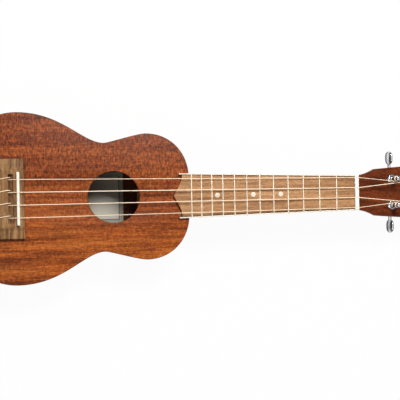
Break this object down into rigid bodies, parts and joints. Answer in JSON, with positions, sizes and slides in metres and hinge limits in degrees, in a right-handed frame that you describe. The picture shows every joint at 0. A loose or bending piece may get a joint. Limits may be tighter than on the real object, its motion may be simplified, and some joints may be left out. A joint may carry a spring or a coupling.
{
  "type": "ukulele",
  "caption": "Soprano ukulele with a figure-eight wooden body, round sound hole, tied strings, fretted neck and geared chrome tuners that turn.",
  "frame": {"origin": "Centre of the ukulele's box, on the plane that its back rests on", "axes": "+X from the tail to the head, +Y towards the low-G side, +Z out of the soundboard"},
  "size_m": [0.5228, 0.1766, 0.071],
  "materials": {
    "body_wood": "satin reddish brown mahogany",
    "neck_wood": "satin dark red brown",
    "board_wood": "open pored walnut brown",
    "bridge_wood": "open pored walnut brown",
    "inner_wood": "raw pale softwood",
    "cream_plastic": "polished cream",
    "fret_wire": "polished nickel silver",
    "string_nylon": "pale nylon",
    "tuner_chrome": "polished chrome"
  },
  "bodies": {
    "root": {"soundboard": "body_wood", "back": "body_wood", "side_bass": "body_wood", "side_treble": "body_wood", "neck": "neck_wood", "fingerboard": "board_wood", "bridge": "bridge_wood", "neck_block": "inner_wood", "tail_block": "inner_wood", "top_lining_bass": "inner_wood", "top_lining_treble": "inner_wood", "back_lining_bass": "inner_wood", "back_lining_treble": "inner_wood", "soundboard_brace_upper": "inner_wood", "soundboard_brace_lower": "inner_wood", "back_brace_upper": "inner_wood", "back_brace_lower": "inner_wood", "binding_bass": "cream_plastic", "binding_treble": "cream_plastic", "nut": "cream_plastic", "saddle": "cream_plastic", "position_dot_05": "cream_plastic", "position_dot_07": "cream_plastic", "position_dot_10": "cream_plastic", "fret_01": "fret_wire", "fret_02": "fret_wire", "fret_03": "fret_wire", "fret_04": "fret_wire", "fret_05": "fret_wire", "fret_06": "fret_wire", "fret_07": "fret_wire", "fret_08": "fret_wire", "fret_09": "fret_wire", "fret_10": "fret_wire", "fret_11": "fret_wire", "fret_12": "fret_wire", "string_g": "string_nylon", "tuner_plate_g": "tuner_chrome", "tuner_bushing_g": "tuner_chrome", "string_c": "string_nylon", "tuner_plate_c": "tuner_chrome", "tuner_bushing_c": "tuner_chrome", "string_e": "string_nylon", "tuner_plate_e": "tuner_chrome", "tuner_bushing_e": "tuner_chrome", "string_a": "string_nylon", "tuner_plate_a": "tuner_chrome", "tuner_bushing_a": "tuner_chrome"},
    "key_g": {"tuner_key_g": "tuner_chrome"},
    "post_g": {"tuner_post_g": "tuner_chrome", "string_winding_g": "string_nylon"},
    "key_c": {"tuner_key_c": "tuner_chrome"},
    "post_c": {"tuner_post_c": "tuner_chrome", "string_winding_c": "string_nylon"},
    "key_e": {"tuner_key_e": "tuner_chrome"},
    "post_e": {"tuner_post_e": "tuner_chrome", "string_winding_e": "string_nylon"},
    "key_a": {"tuner_key_a": "tuner_chrome"},
    "post_a": {"tuner_post_a": "tuner_chrome", "string_winding_a": "string_nylon"}
  },
  "joints": [
    {"name": "key_g_turn", "type": "hinge", "parent": "root", "child": "key_g", "pos_m": [0.20265, 0.014, 0.03282], "axis": [0, 1, 0], "continuous": true},
    {"name": "post_g_turn", "type": "hinge", "parent": "root", "child": "post_g", "pos_m": [0.19953, 0.014, 0.05067], "axis": [0.225, 0, 0.9744], "continuous": true},
    {"name": "key_c_turn", "type": "hinge", "parent": "root", "child": "key_c", "pos_m": [0.23967, 0.016, 0.02427], "axis": [0, 1, 0], "continuous": true},
    {"name": "post_c_turn", "type": "hinge", "parent": "root", "child": "post_c", "pos_m": [0.23656, 0.016, 0.04212], "axis": [0.225, 0, 0.9744], "continuous": true},
    {"name": "key_e_turn", "type": "hinge", "parent": "root", "child": "key_e", "pos_m": [0.23967, -0.016, 0.02427], "axis": [0, 1, 0], "continuous": true},
    {"name": "post_e_turn", "type": "hinge", "parent": "root", "child": "post_e", "pos_m": [0.23656, -0.016, 0.04212], "axis": [0.225, 0, 0.9744], "continuous": true},
    {"name": "key_a_turn", "type": "hinge", "parent": "root", "child": "key_a", "pos_m": [0.20265, -0.014, 0.03282], "axis": [0, 1, 0], "continuous": true},
    {"name": "post_a_turn", "type": "hinge", "parent": "root", "child": "post_a", "pos_m": [0.19953, -0.014, 0.05067], "axis": [0.225, 0, 0.9744], "continuous": true}
  ],
  "couplings": [
    {"joint": "post_g_turn", "follows": "key_g_turn", "ratio": -0.071429},
    {"joint": "post_c_turn", "follows": "key_c_turn", "ratio": -0.071429},
    {"joint": "post_e_turn", "follows": "key_e_turn", "ratio": -0.071429},
    {"joint": "post_a_turn", "follows": "key_a_turn", "ratio": -0.071429}
  ]
}
